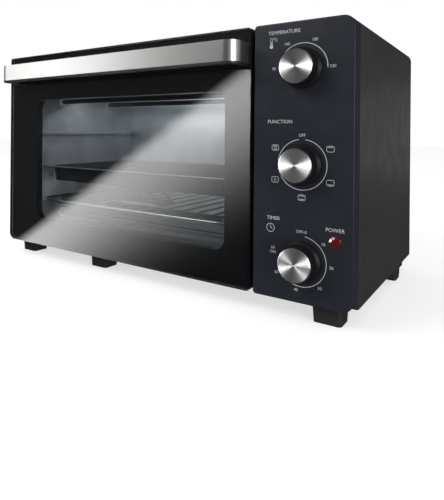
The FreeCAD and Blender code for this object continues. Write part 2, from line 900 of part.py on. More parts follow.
def handle():
    """A bow across the door: a black moulding, and a steel strip round its face and ends."""
    def bow(inset, depth, radius, arm):
        """Seen from above: the outer line is set in, the inner one is a depth behind it."""
        left, right = f"grip_left + {inset}", f"grip_right - {inset}"
        inner_left, inner_right = f"grip_left + {arm}", f"grip_right - {arm}"
        corner = f"{radius} - {inset}"
        behind = f"tip + {depth}"
        inside = f"{radius} - {arm}" if number(radius) > number(arm) else "handle_bar/4"
        return Drawing().outline([
            (left, "front", None),
            (left, f"tip + {inset}", corner),
            (right, f"tip + {inset}", corner),
            (right, "front", None),
            (inner_right, "front", None),
            (inner_right, behind, inside),
            (inner_left, behind, inside),
            (inner_left, "front", None),
        ])
    arm = "handle_bar + handle_plate"
    body = new_body("handle_body")
    pad(body, "z", "grip_low + handle_lip", "handle_height",
        bow("handle_plate", arm, "handle_corner", arm))
    pad(body, "z", "grip_low", "handle_lip", bow("0", arm, "handle_corner", arm))
    pocket(body, "y", "front", "screw_bite", handle_holes("screw_radius"), way=-1)
    plate = new_body("handle_plate")
    pad(plate, "z", "grip_low + handle_lip", "handle_height",
        bow("0", "handle_plate", "handle_corner", "handle_plate"))
    parts = []
    for x in ("screw_left", "screw_right"):
        parts.append(rod("handle_screw_head", "y", x, "frame_plate", "grip_middle",
                         "screw_head", "screw_head_height"))
        parts.append(rod("handle_screw", "y", x, "front - screw_bite", "grip_middle",
                         "screw_radius", "frame_plate - front + screw_bite"))
    piece(joined("handle_screws", parts))


# ---------------------------------------------------------------- controls


def control_panel():
    """A moulded panel, hollow behind, with holes for three shafts and the lamp."""
    body = new_body("control_panel")
    radius, small = "corner_radius", "glass_small_corner"
    outline = Drawing().rectangle("panel_left", "right", "low", "high",
                                  small, radius, radius, small)
    pad(body, "y", "front", "fascia_depth", outline)
    rounded(body, "panel_edge", in_plane("Y", "front"))
    hollow = Drawing().rectangle(
        "panel_left + panel_wall", "right - panel_wall", "low + panel_wall", "high - panel_wall",
        *(f"{corner} - panel_wall" for corner in (small, radius, radius, small)))
    pocket(body, "y", "front + panel_wall", "fascia_depth - panel_wall", hollow)
    holes = Drawing().circle("lamp_x", "lamp_z", "lamp_radius")
    for z in ("temperature_z", "function_z", "timer_z"):
        holes.circle("dial_x", z, "shaft_radius + shaft_hole_gap")
    pocket(body, "y", "front", "panel_wall", holes)


def power_lamp():
    """A red domed lens in the panel, and its holder behind."""
    lens = new_body("power_lamp_lens", "lamp_x", "front", "lamp_z")
    turned(lens, [
        ("0", "-lamp_dome"),
        ("0.5*lamp_radius", "-0.85*lamp_dome"),
        ("0.84*lamp_radius", "-0.45*lamp_dome"),
        ("lamp_radius", "0"),
        ("lamp_radius", "lamp_seat"),
        ("0", "lamp_seat"),
    ])
    piece(rod("power_lamp_holder", "y", "lamp_x", "front + lamp_seat", "lamp_z",
              "0.85*lamp_radius", "fascia_depth - lamp_seat"))


def knob(name, z):
    """A black knob with a spun metal face, on a steel shaft."""
    body = new_body(name + "_knob", "dial_x", "front", z)
    face = "cap_thickness - knob_length"
    shaft_end = "shaft_grip + knob_gap"
    turned(body, [
        ("0", face),
        ("cap_radius", face),
        ("cap_radius", "0.6*cap_thickness - knob_length"),
        ("knob_radius - knob_gap/2", "0.6*cap_thickness - knob_length"),
        ("knob_radius", "-knob_gap - 2*knob_base"),
        ("knob_base_radius", "-knob_gap - knob_base"),
        ("knob_base_radius", "-knob_gap"),
        ("shaft_radius", "-knob_gap"),
        ("shaft_radius", f"-({shaft_end})"),
        ("0", f"-({shaft_end})"),
    ])
    cap = new_body(name + "_knob_cap", "dial_x", "front", z)
    turned(cap, [
        ("0", face),
        ("cap_radius", face),
        ("cap_radius", "0.3*cap_thickness - knob_length"),
        ("0.95*cap_radius", "-knob_length"),
        ("0", "0.15*cap_thickness - knob_length"),
    ])
    piece(rod(name + "_shaft", "y", "dial_x", f"front - ({shaft_end})", z, "shaft_radius",
              f"{shaft_end} + fascia_depth + sheet + shaft_depth"))


def switches():
    """The thermostat, the function switch and the timer, each bored for its shaft."""
    def bored(label, solid, z):
        bore = rod(label + "_bore", "y", "dial_x", "frame_back", z,
                   "shaft_radius + running_gap", "shaft_depth + fit_gap")
        piece(without(label, solid, [bore]))
    for label, z, size, depth in (
            ("thermostat", "temperature_z", "thermostat_size", "thermostat_depth"),
            ("selector_switch", "function_z", "switch_size", "switch_depth")):
        solid = block(label + "_case", f"dial_x - {size}/2", f"dial_x + {size}/2",
                      "frame_back", f"frame_back + {depth}", f"{z} - {size}/2", f"{z} + {size}/2")
        bored(label, solid, z)
    case = rod("timer_case", "y", "dial_x", "frame_back", "timer_z", "timer_radius", "timer_depth")
    bored("timer_mechanism", case, "timer_z")
    bell = new_body("timer_bell", "dial_x", "frame_back + timer_depth", "timer_z")
    turned(bell, [
        ("0", "0"),
        ("screw_radius", "0"),
        ("screw_radius", "bell_depth - sheet"),
        ("0.8*bell_radius", "0.8*bell_depth - sheet"),
        ("bell_radius - sheet", "0.3*bell_depth"),
        ("bell_radius", "0.3*bell_depth"),
        ("0.85*bell_radius", "0.85*bell_depth"),
        ("0", "bell_depth"),
    ])


# ---------------------------------------------------------------- accessories


def baking_tray():
    """A pressed tray: a flat flange on the rails, sloping sides and a raised base."""
    body = new_body("baking_tray")
    sheet_ = "tray_sheet"
    rim = ("tray_left", "tray_right", "tray_front", "tray_rear")
    pad(body, "z", "tray_low", sheet_, Drawing().rectangle(*rim, "tray_corner"))
    well = [f"{side} {sign} tray_rim" for side, sign in zip(rim, "+-+-")]
    pad(body, "z", "tray_high", "tray_depth", Drawing().rectangle(*well, "tray_corner"),
        way=-1, taper=-8)
    inside = [f"{side} {sign} {sheet_}" for side, sign in zip(well, "+-+-")]
    corner = f"tray_corner - {sheet_}"
    pocket(body, "z", "tray_high", f"tray_depth - {sheet_}",
           Drawing().rectangle(*inside, corner), way=-1, taper=-8)
    pillow = [f"{side} {sign} tray_pillow" for side, sign in zip(inside, "+-+-")]
    pad(body, "z", f"tray_high - tray_depth + {sheet_}", "tray_pillow_height",
        Drawing().rectangle(*pillow, corner), taper=-30)


def wire_rack():
    """A heavy wire loop with thin wires across it; the outer two dip near both ends."""
    body = new_body("wire_rack")
    left, right = "tray_left + rack_wire", "tray_right - rack_wire"
    near, far = "tray_front + rack_wire", "tray_rear - rack_wire"
    loop = Drawing().rectangle(left, right, near, far, "rack_corner")
    pipe(body, "z", "rack_z", loop, True, "rack_wire", "x", (f"{left} + rack_corner", near, "rack_z"))
    first, last = f"{left} + rack_corner + rack_wire", f"{right} - rack_corner - rack_wire"
    gap = f"({last} - ({first}))/12"
    plain = Drawing().circle(f"{first} + {gap}", "rack_z", "cross_wire")
    wire = pad(body, "y", near, f"{far} - ({near})", plain)
    pattern(body, [wire], "X", f"10*{gap}", 11)
    dip = "rack_z - notch_depth"
    near_dip, far_dip = f"{near} + notch_offset", f"{far} - notch_offset"
    for x in (first, last):
        bent = Drawing().chain([
            (near, "rack_z"),
            (f"{near_dip} - notch_width", "rack_z"),
            (near_dip, dip),
            (f"{near_dip} + notch_width", "rack_z"),
            (f"{far_dip} - notch_width", "rack_z"),
            (far_dip, dip),
            (f"{far_dip} + notch_width", "rack_z"),
            (far, "rack_z"),
        ])
        pipe(body, "x", x, bent, False, "cross_wire", "y", (near, x, "rack_z"), "Right corner")


def tray_handle():
    """A bent wire grip: a flat frame, two bridges over it, and a long bow on the bridges."""
    body = new_body("tray_handle", "grip_x", "grip_y", "grip_z")
    half, side = "hook_width/2", "grip_width/2"
    frame = Drawing().rectangle(f"-{half}", half, "0", "hook_length", "2*grip_wire")
    pipe(body, "z", "0", frame, True, "grip_wire", "x", ("0", "0", "0"))
    for y in ("2*grip_wire", "hook_length - 2*grip_wire"):
        bridge = Drawing().chain([
            (f"-{half}", "0"),
            (f"-{side}", "hook_height"),
            (side, "hook_height"),
            (half, "0"),
        ])
        pipe(body, "y", y, bridge, False, "grip_wire", "x", (f"-{half}", y, "0"))
    bend = f"{side} - slack"
    bow = Drawing().outline([
        (f"-{side}", "0", None),
        (f"-{side}", "grip_length", bend),
        (side, "grip_length", bend),
        (side, "0", None),
    ], closed=False)
    pipe(body, "z", "hook_height", bow, False, "grip_wire", "y", ("0", f"-{side}", "hook_height"))


def write_out():
    """Check every object, then write each piece as its own file."""
    doc.recompute()
    for item in doc.Objects:
        if "Invalid" in item.State or "Error" in item.State:
            raise RuntimeError(f"{item.Label} did not build: {item.State}")
    os.makedirs("parts", exist_ok=True)
    for item in pieces:
        shape = item.Shape
        if shape.isNull() or not shape.isValid() or not shape.Solids:
            raise RuntimeError(f"{item.Label} has no valid shape")
    for item in pieces:
        item.Shape.exportStep(f"parts/{item.Label}.step")


outer_housing()
base_plate()
back_panel()
back_panel_screws()
front_frame()
heat_shield()
cavity_walls()
rack_rails()
heating_elements()
feet()
cord_gland()
terminal_block()
door_glass()
door_frame()
door_inner_panel()
hinge_parts()
stop_arms()
handle()
control_panel()
power_lamp()
for dial in ("temperature", "function", "timer"):
    knob(dial, dial + "_z")
switches()
baking_tray()
wire_rack()
tray_handle()
write_out()
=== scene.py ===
"""The looks of the mini oven: materials, finer meshes, dial markings, light and camera."""
import json
import math

import bmesh
import bpy
from mathutils import Matrix, Vector

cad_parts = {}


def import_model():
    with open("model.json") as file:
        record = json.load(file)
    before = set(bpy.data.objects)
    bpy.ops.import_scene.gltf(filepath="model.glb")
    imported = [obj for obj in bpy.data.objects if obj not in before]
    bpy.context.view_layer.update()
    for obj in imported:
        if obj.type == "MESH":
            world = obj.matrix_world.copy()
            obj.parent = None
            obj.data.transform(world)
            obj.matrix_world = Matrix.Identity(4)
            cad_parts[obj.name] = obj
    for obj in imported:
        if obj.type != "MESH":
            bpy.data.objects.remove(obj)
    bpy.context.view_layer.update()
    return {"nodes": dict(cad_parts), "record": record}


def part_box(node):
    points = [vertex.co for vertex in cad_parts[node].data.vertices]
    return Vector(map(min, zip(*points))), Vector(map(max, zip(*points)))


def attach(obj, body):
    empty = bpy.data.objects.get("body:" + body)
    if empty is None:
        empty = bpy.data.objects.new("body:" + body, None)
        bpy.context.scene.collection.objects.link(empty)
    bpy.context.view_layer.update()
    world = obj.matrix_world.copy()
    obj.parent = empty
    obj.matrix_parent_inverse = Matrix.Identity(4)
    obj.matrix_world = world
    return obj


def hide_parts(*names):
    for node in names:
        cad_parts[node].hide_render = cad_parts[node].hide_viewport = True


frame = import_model()
nodes = frame["nodes"]
MM = 0.001


# ---------------------------------------------------------------- places from the frame


def span(node):
    """A node's lowest and highest corners at rest."""
    low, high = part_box(node)
    return Vector(low), Vector(high)


def middle(node):
    low, high = span(node)
    return (low + high) / 2


PANEL_LOW = span("control_panel")[0]
FRONT = PANEL_LOW.y
DIALS = {name: middle(name + "_knob_cap") for name in ("temperature", "function", "timer")}


# ---------------------------------------------------------------- materials


class Shading:
    """The nodes of a material or a world, built up from its output."""

    def __init__(self, owner, output="ShaderNodeOutputMaterial"):
        owner.use_nodes = True
        self.tree = owner.node_tree
        self.tree.nodes.clear()
        self.output = self.add(output)

    def add(self, kind, **settings):
        node = self.tree.nodes.new(kind)
        for name, value in settings.items():
            setattr(node, name, value)
        return node

    def link(self, start, end):
        self.tree.links.new(start, end)

    def show(self, shader):
        self.link(shader.outputs[0], self.output.inputs["Surface"])

    def ranged(self, value, low, high, start=0.0, end=1.0, **settings):
        """Map a value from between start and end to between low and high."""
        node = self.add("ShaderNodeMapRange", **settings)
        ends = {"From Min": start, "From Max": end, "To Min": low, "To Max": high}
        for socket, number in ends.items():
            node.inputs[socket].default_value = number
        self.link(value, node.inputs["Value"])
        return node.outputs[0]

    def maths(self, operation, first, second):
        """A math node's result from a link and either a link or a number."""
        node = self.add("ShaderNodeMath", operation=operation)
        self.link(first, node.inputs[0])
        if isinstance(second, float):
            node.inputs[1].default_value = second
        else:
            self.link(second, node.inputs[1])
        return node.outputs[0]


class Recipe(Shading):
    """One procedural material, built around a Principled shader."""

    def __init__(self, name, colour, roughness, metallic=0.0, **sockets):
        self.material = bpy.data.materials.new(name)
        super().__init__(self.material)
        self.shader = self.add("ShaderNodeBsdfPrincipled")
        self.show(self.shader)
        self.colour = (*colour, 1.0)
        self.tint = self.colour
        self.roughness = roughness
        self.shader.inputs["Base Color"].default_value = self.colour
        self.shader.inputs["Roughness"].default_value = roughness
        self.shader.inputs["Metallic"].default_value = metallic
        for socket, value in sockets.items():
            self.shader.inputs[socket.replace("_", " ")].default_value = value
        self.place = self.add("ShaderNodeTexCoord").outputs["Object"]

    def noise(self, scale, detail=3.0, stretch=(1, 1, 1)):
        """Noise in the object's own space; scale is in waves per metre."""
        mapping = self.add("ShaderNodeMapping")
        mapping.inputs["Scale"].default_value = stretch
        self.link(self.place, mapping.inputs["Vector"])
        noise = self.add("ShaderNodeTexNoise")
        noise.inputs["Scale"].default_value = scale
        noise.inputs["Detail"].default_value = detail
        self.link(mapping.outputs[0], noise.inputs["Vector"])
        return noise.outputs["Fac"]

    def between(self, low, high, noise):
        """Map a noise to a range. Most of a noise lies between 0.3 and 0.7."""
        return self.ranged(noise, low, high, 0.3, 0.7)

    def mix(self, factor, first, second):
        """Blend two colours, each a link or a value."""
        node = self.add("ShaderNodeMix", data_type="RGBA")
        self.link(factor, node.inputs["Factor"])
        # A colour mix has its colours at inputs 6 and 7, and their blend at output 2.
        for socket, value in ((node.inputs[6], first), (node.inputs[7], second)):
            if isinstance(value, tuple):
                socket.default_value = value
            else:
                self.link(value, socket)
        return node.outputs[2]

    def shade(self, amount, noise):
        """Vary the colour's brightness with a noise, by an amount each way."""
        dark = tuple(c * (1 - amount) for c in self.colour[:3]) + (1.0,)
        light = tuple(min(1.0, c * (1 + amount)) for c in self.colour[:3]) + (1.0,)
        self.tint = self.mix(self.between(0, 1, noise), dark, light)
        self.link(self.tint, self.shader.inputs["Base Color"])
        return self

    def polish(self, amount, noise):
        """Vary the roughness with a noise, by an amount each way."""
        smoothest = max(0.0, self.roughness - amount)
        rough = self.between(smoothest, self.roughness + amount, noise)
        self.link(rough, self.shader.inputs["Roughness"])
        return self

    def bump(self, value, height, strength):
        """Relief of a height in metres."""
        node = self.add("ShaderNodeBump")
        node.inputs["Strength"].default_value = strength
        node.inputs["Distance"].default_value = height
        self.link(value, node.inputs["Height"])
        self.link(node.outputs[0], self.shader.inputs["Normal"])
        return self

    def wear_and_edge_highlight(self, radius, lift):
        """Lighten the colour in patches along the edges, rounded by a radius: rubbed wear on paint,
        plastic and enamel, and a painted highlight where the lift is large, as on sheet steel.
        """
        bevel = self.add("ShaderNodeBevel", samples=4)
        bevel.inputs["Radius"].default_value = radius
        geometry = self.add("ShaderNodeNewGeometry")
        dot = self.add("ShaderNodeVectorMath", operation="DOT_PRODUCT")
        self.link(bevel.outputs[0], dot.inputs[0])
        self.link(geometry.outputs["Normal"], dot.inputs[1])
        turned, flat = 0.80, 0.995
        edge = self.ranged(dot.outputs["Value"], 1.0, 0.0, turned, flat)
        patches = self.between(0, 1, self.noise(900))
        light = tuple(min(1.0, c + lift) for c in self.colour[:3]) + (1.0,)
        self.tint = self.mix(self.maths("MULTIPLY", edge, patches), self.tint, light)
        self.link(self.tint, self.shader.inputs["Base Color"])
        return self


def powder_coat(name, colour, roughness):
    """Satin paint with a fine pebbled surface."""
    recipe = Recipe(name, colour, roughness, Specular_IOR_Level=0.5)
    recipe.shade(0.12, recipe.noise(14))
    recipe.polish(0.05, recipe.noise(40, 5))
    recipe.bump(recipe.noise(1700, 2), 0.00006, 0.7)
    return recipe.wear_and_edge_highlight(0.0008, 0.05).material


def moulded(name, colour, roughness, grain=0.00004, lift=0.03, **sockets):
    """Plastic or rubber with a fine grain of a depth in metres."""
    recipe = Recipe(name, colour, roughness, **sockets)
    recipe.shade(0.10, recipe.noise(25))
    recipe.polish(0.05, recipe.noise(90, 4))
    recipe.bump(recipe.noise(2600, 2), grain, 0.6)
    return recipe.wear_and_edge_highlight(0.0005, lift).material


def lacquer(name, colour, roughness):
    """Smooth, glossy black, only a little uneven in its shine."""
    recipe = Recipe(name, colour, roughness, Coat_Weight=0.4, Coat_Roughness=0.06)
    recipe.shade(0.08, recipe.noise(12))
    recipe.polish(0.02, recipe.noise(20, 2))
    return recipe.bump(recipe.noise(60, 1), 0.000004, 0.2).material


def brushed(name, colour, roughness, along, scale=5000):
    """Metal with its grain along one axis."""
    stretch = tuple(0.012 if axis == along else 1.0 for axis in "xyz")
    recipe = Recipe(name, colour, roughness, 1.0, Anisotropic=0.55)
    grain = recipe.noise(scale, 3, stretch)
    recipe.shade(0.035, grain)
    recipe.polish(0.015, recipe.noise(scale / 2, 3, stretch))
    return recipe.bump(grain, 0.000002, 0.4).material


def spun(name, colour, roughness):
    """Metal turned on a lathe: fine rings about an axis along Y, through the middle."""
    recipe = Recipe(name, colour, roughness, 1.0, Anisotropic=0.9, Anisotropic_Rotation=0.25)
    generated = recipe.add("ShaderNodeTexCoord").outputs["Generated"]
    centred = recipe.add("ShaderNodeVectorMath", operation="SUBTRACT")
    centred.inputs[1].default_value = (0.5, 0.5, 0.5)
    recipe.link(generated, centred.inputs[0])
    across_axis = recipe.add("ShaderNodeVectorMath", operation="MULTIPLY")
    across_axis.inputs[1].default_value = (1, 0, 1)
    recipe.link(centred.outputs[0], across_axis.inputs[0])
    radius = recipe.add("ShaderNodeVectorMath", operation="LENGTH")
    recipe.link(across_axis.outputs[0], radius.inputs[0])
    rings = recipe.add("ShaderNodeTexNoise", noise_dimensions="1D")
    rings.inputs["Scale"].default_value = 90
    rings.inputs["Detail"].default_value = 4
    recipe.link(radius.outputs["Value"], rings.inputs["W"])
    recipe.shade(0.12, rings.outputs["Fac"])
    recipe.polish(0.05, rings.outputs["Fac"])
    recipe.bump(rings.outputs["Fac"], 0.00003, 0.4)
    tangent = recipe.add("ShaderNodeTangent", direction_type="RADIAL", axis="Y")
    recipe.link(tangent.outputs[0], recipe.shader.inputs["Tangent"])
    return recipe.material


def sheet_steel(name, colour, roughness, spots=0.15):
    """Plain coated sheet, a little cloudy, with a painted highlight along its edges and embossed steps.
    """
    recipe = Recipe(name, colour, roughness, 0.85)
    recipe.shade(spots, recipe.noise(30, 6))
    recipe.polish(0.08, recipe.noise(60, 6))
    recipe.bump(recipe.noise(500, 4), 0.00003, 0.4)
    # Painted highlight: edges and embossed steps are lightened to show as bright lines.
    return recipe.wear_and_edge_highlight(0.0015, 0.25).material


def bright(name, colour, roughness):
    """Plated steel, not quite even."""
    recipe = Recipe(name, colour, roughness, 1.0)
    recipe.shade(0.08, recipe.noise(120, 4))
    recipe.polish(0.05, recipe.noise(300, 4))
    return recipe.bump(recipe.noise(1200, 2), 0.00001, 0.3).material


def enamel(name, colour):
    """Gloss enamel with a shallow orange-peel surface."""
    recipe = Recipe(name, colour, 0.22, Coat_Weight=0.6, Coat_Roughness=0.08)
    recipe.shade(0.15, recipe.noise(60, 5))
    recipe.polish(0.05, recipe.noise(35, 4))
    recipe.bump(recipe.noise(260, 3), 0.00005, 0.5)
    return recipe.wear_and_edge_highlight(0.0006, 0.03).material


def pane(name):
    """A clear, slightly grey pane: straight through, with a mirror sheen on its front."""
    material = bpy.data.materials.new(name)
    shading = Shading(material)
    clear = shading.add("ShaderNodeBsdfTransparent")
    clear.inputs["Color"].default_value = (0.86, 0.87, 0.87, 1)
    sheen = shading.add("ShaderNodeBsdfGlossy")
    sheen.inputs["Roughness"].default_value = 0.02
    fresnel = shading.add("ShaderNodeFresnel")
    fresnel.inputs["IOR"].default_value = 1.55
    backfacing = shading.add("ShaderNodeNewGeometry").outputs["Backfacing"]
    # The mirror's share is Fresnel's on the way in, and none on the way out.
    front_only = shading.add("ShaderNodeMapRange")
    front_only.inputs["To Max"].default_value = 0.0
    shading.link(backfacing, front_only.inputs["Value"])
    shading.link(fresnel.outputs[0], front_only.inputs["To Min"])
    blend = shading.add("ShaderNodeMixShader")
    for index, source in enumerate((front_only, clear, sheen)):
        shading.link(source.outputs[0], blend.inputs[index])
    shading.show(blend)
    return material


def lamp(name):
    """A dark red lens, unlit."""
    recipe = Recipe(name, (0.055, 0.004, 0.004), 0.18, Coat_Weight=0.8, Coat_Roughness=0.05)
    recipe.shade(0.25, recipe.noise(500, 3))
    return recipe.polish(0.05, recipe.noise(800)).material


MATERIALS = {
    "housing_paint": powder_coat("housing_paint", (0.022, 0.022, 0.023), 0.42),
    "cavity_steel": sheet_steel("cavity_steel", (0.47, 0.50, 0.53), 0.45),
    "zinc_sheet": sheet_steel("zinc_sheet", (0.55, 0.56, 0.57), 0.38, 0.22),
    "panel_plastic": moulded("panel_plastic", (0.012, 0.014, 0.019), 0.34, Specular_IOR_Level=0.3),
    "frame_plastic": lacquer("frame_plastic", (0.008, 0.008, 0.009), 0.22),
    "door_pane": pane("door_pane"),
    "handle_plastic": moulded("handle_plastic", (0.012, 0.012, 0.012), 0.40),
    "handle_steel": brushed("handle_steel", (0.62, 0.62, 0.61), 0.30, "x"),
    "knob_plastic": moulded("knob_plastic", (0.006, 0.006, 0.007), 0.45, lift=0.01,
                            Specular_IOR_Level=0.25),
    "spun_cap": spun("spun_cap", (0.74, 0.74, 0.74), 0.5),
    "bright_steel": bright("bright_steel", (0.60, 0.60, 0.60), 0.25),
    "switch_case": moulded("switch_case", (0.58, 0.55, 0.48), 0.5, lift=0.1),
    "lamp_red": lamp("lamp_red"),
    "element_sheath": brushed("element_sheath", (0.16, 0.155, 0.15), 0.55, "x", 900),
    "white_ceramic": moulded("white_ceramic", (0.75, 0.73, 0.68), 0.6, 0.00006, 0.1),
    "foot_plastic": moulded("foot_plastic", (0.014, 0.014, 0.015), 0.55, 0.00007),
    "gland_rubber": moulded("gland_rubber", (0.015, 0.015, 0.015), 0.7, 0.00008),
    "tray_enamel": enamel("tray_enamel", (0.014, 0.014, 0.016)),
    "rack_chrome": bright("rack_chrome", (0.42, 0.43, 0.44), 0.36),
}

for entry in frame["record"]["subparts"]:
    for holder in nodes[entry["node"]].material_slots:
        holder.material = MATERIALS[entry["material_slot"]]


# ---------------------------------------------------------------- pieces in place of CAD nodes

GLASS_GAP = 0.1 * MM


def add_piece(name, mesh, body, slot, material, *replaced):
    """A finished piece that moves with a body, in place of any nodes given."""
    mesh.materials.clear()
    mesh.materials.append(material)
    piece = bpy.data.objects.new(name, mesh)
    bpy.context.collection.objects.link(piece)
    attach(piece, body)
    if replaced:
        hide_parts(*replaced)
    return piece


def door_pane():
    """The glass, a hair clear of the frame that it is bonded to, with blackened edges."""
    low, high = span("door_glass")
    half_way = (low.y + high.y) / 2
    shape = bmesh.new()
    shape.from_mesh(nodes["door_glass"].data)
    bmesh.ops.remove_doubles(shape, verts=shape.verts, dist=1e-6)
    bmesh.ops.dissolve_limit(shape, angle_limit=math.radians(1), verts=shape.verts, edges=shape.edges)
    for face in shape.faces:
        face.smooth = False
    for vertex in shape.verts:
        if vertex.co.y > half_way:
            vertex.co.y -= GLASS_GAP
    mesh = bpy.data.meshes.new("door_glass_fine")
    shape.to_mesh(mesh)
    shape.free()
    piece = add_piece("door_pane", mesh, "door", "door_pane", MATERIALS["door_pane"], "door_glass")
    mesh.materials.append(MATERIALS["frame_plastic"])
    for face in mesh.polygons:
        is_edge = abs(face.normal.y) < 0.5
        face.material_index = int(is_edge)
    return piece


# ---------------------------------------------------------------- printing on the fascia

INK = 0.05 * MM
RING = 21.5 * MM
LETTERS = 4.5 * MM
DIGITS = 3.6 * MM
LABEL_LEFT = PANEL_LOW.x + 13.5 * MM
LABEL_INK = moulded("label_ink", (0.30, 0.31, 0.33), 0.6, 0.00001, 0.05)


def around(radius, angle, x=0.0, z=0.0):
    """A point on a circle about (x, z). Degrees run clockwise from 12 o'clock."""
    turn = math.radians(angle)
    return x + radius * math.sin(turn), z + radius * math.cos(turn)


class Print:
    """Thin ink shapes on the fascia. Places are in metres right of and above a centre."""

    def __init__(self, name, centre):
        self.name = name
        self.centre = centre
        self.left = LABEL_LEFT - centre.x
        self.shape = bmesh.new()

    def point(self, x, z):
        return self.shape.verts.new((self.centre.x + x, FRONT - INK, self.centre.z + z))

    def ribbon(self, points, widths, closed=False):
        """A line of the given width, or widths, through the points."""
        count = len(points)
        if not isinstance(widths, list):
            widths = [widths] * count
        rails = []
        for index, (x, z) in enumerate(points):
            before = points[index - 1] if closed or index else points[index]
            after = points[(index + 1) % count] if closed or index < count - 1 else points[index]
            along = Vector((after[0] - before[0], after[1] - before[1])).normalized()
            side = Vector((-along.y, along.x)) * widths[index] / 2
            rails.append((self.point(x + side.x, z + side.y), self.point(x - side.x, z - side.y)))
        for index in range(count if closed else count - 1):
            first, second = rails[index], rails[(index + 1) % count]
            self.shape.faces.new((first[0], first[1], second[1], second[0]))

    def arc(self, start, end, width, end_width):
        """Part of a dial's ring, from one angle and width to another."""
        steps = max(8, int(abs(end - start) / 4))
        shares = [index / steps for index in range(steps + 1)]
        points = [around(RING, start + (end - start) * share) for share in shares]
        self.ribbon(points, [width + (end_width - width) * share for share in shares])

    def ring(self, radius, width, x, z):
        steps = 28
        points = [around(radius, 360 * index / steps, x, z) for index in range(steps)]
        self.ribbon(points, width, closed=True)

    def dot(self, radius, x, z):
        steps = 20
        points = [around(radius, 360 * index / steps, x, z) for index in range(steps)]
        self.shape.faces.new([self.point(*point) for point in points])

    def outline(self, wide, high, line, x, z):
        """A box with cut corners."""
        right, top, cut = wide / 2, high / 2, 0.8 * MM
        corners = [(-right + cut, -top), (right - cut, -top), (right, -top + cut),
                   (right, top - cut), (right - cut, top), (-right + cut, top),
                   (-right, top - cut), (-right, -top + cut)]
        self.ribbon([(x + dx, z + dz) for dx, dz in corners], line, closed=True)

    def words(self, text, size, x, z, align="CENTER"):
        """Plain letters, their middle height at z."""
        letters = bpy.data.curves.new(self.name + "_letters", "FONT")
        letters.body = text
        letters.size = size
        letters.align_x = align
        letters.align_y = "CENTER"
        letters.resolution_u = 3
        holder = bpy.data.objects.new(letters.name, letters)
        flat = bpy.data.meshes.new_from_object(holder)
        stand_up = Matrix(((1, 0, 0, self.centre.x + x),
                           (0, 0, 1, FRONT - INK),
                           (0, 1, 0, self.centre.z + z),
                           (0, 0, 0, 1)))
        flat.transform(stand_up)
        self.shape.from_mesh(flat)
        bpy.data.objects.remove(holder)
        bpy.data.meshes.remove(flat)

    def title(self, text, z):
        """A name in the fascia's left-hand column."""
        self.words(text, LETTERS, self.left, z, "LEFT")

    def numbers(self, labels):
        """Labels round a dial: text, angle, and how far outside the ring in millimetres."""
        for text, angle, out in labels:
            self.words(text, DIGITS, *around(RING + out * MM, angle))

    def done(self):
        """Give the ink its thickness and set it on the cabinet. The back and the sides are made
        one by one, because Blender's extrude orders them differently from run to run."""
        thickness = Vector((0, INK * 0.9, 0))
        bmesh.ops.remove_doubles(self.shape, verts=self.shape.verts, dist=1e-7)
        faces = self.shape.faces[:]
        rims = [edge for edge in self.shape.edges if edge.is_boundary]
        backs = {vertex: self.shape.verts.new(vertex.co + thickness)
                 for vertex in self.shape.verts[:] if vertex.link_faces}
        for face in faces:
            self.shape.faces.new([backs[vertex] for vertex in face.verts])
        for first, second in [edge.verts for edge in rims]:
            self.shape.faces.new((first, second, backs[second], backs[first]))
        bmesh.ops.recalc_face_normals(self.shape, faces=self.shape.faces[:])
        mesh = bpy.data.meshes.new(self.name)
        self.shape.to_mesh(mesh)
        self.shape.free()
        add_piece(self.name, mesh, "cabinet", "panel_plastic", LABEL_INK)


def temperature_scale():
    ink = Print("temperature_scale", DIALS["temperature"])
    ink.arc(-52, 92, 0.5 * MM, 0.8 * MM)
    ink.numbers((("90", -88, 4.6), ("140", -33, 4.4), ("180", 24, 4.0), ("230", 90, 4.2)))
    ink.title("TEMPERATURE", 32.4 * MM)
    thermometer(ink, ink.left + 3.0 * MM, 24.0 * MM)
    ink.done()


def thermometer(ink, x, z):
    """A bulb and a tube with a column in it, and a degree sign with a C."""
    side, shoulder = 0.9 * MM, 0.5 * MM
    foot, neck, top = z - 2.2 * MM, z + 3.4 * MM, z + 4.1 * MM
    ink.dot(1.6 * MM, x, z - 3.4 * MM)
    ink.ribbon([(x - side, foot), (x - side, neck), (x - shoulder, top),
                (x + shoulder, top), (x + side, neck), (x + side, foot)], 0.35 * MM)
    ink.ribbon([(x, z - 2.5 * MM), (x, z + 1.0 * MM)], 0.6 * MM)
    ink.ring(0.6 * MM, 0.3 * MM, x + 2.6 * MM, z + 3.6 * MM)
    ink.words("C", DIGITS, x + 4.6 * MM, z + 2.2 * MM)


def function_scale():
    ink = Print("function_scale", DIALS["function"])
    ink.arc(8, 352, 0.6 * MM, 0.6 * MM)
    ink.words("OFF", DIGITS, 0, RING + 3.4 * MM)
    ink.title("FUNCTION", 36.5 * MM)
    for index in range(5):
        x, z = around(RING + 6.4 * MM, 60 * (index + 1))
        function_sign(ink, x, z, index)
    ink.done()


def function_sign(ink, x, z, index):
    """A little oven, with bars for the rods in use and a circle for the fan."""
    bar, rise = 2.1 * MM, 1.4 * MM
    ink.outline(6.2 * MM, 4.8 * MM, 0.4 * MM, x, z)
    if index in (0, 2, 4):
        ink.ribbon([(x - bar, z + rise), (x + bar, z + rise)], 0.5 * MM)
    if index in (1, 2, 4):
        ink.ribbon([(x - bar, z - rise), (x + bar, z - rise)], 0.5 * MM)
    if index >= 3:
        ink.ring(0.8 * MM, 0.35 * MM, x, z)


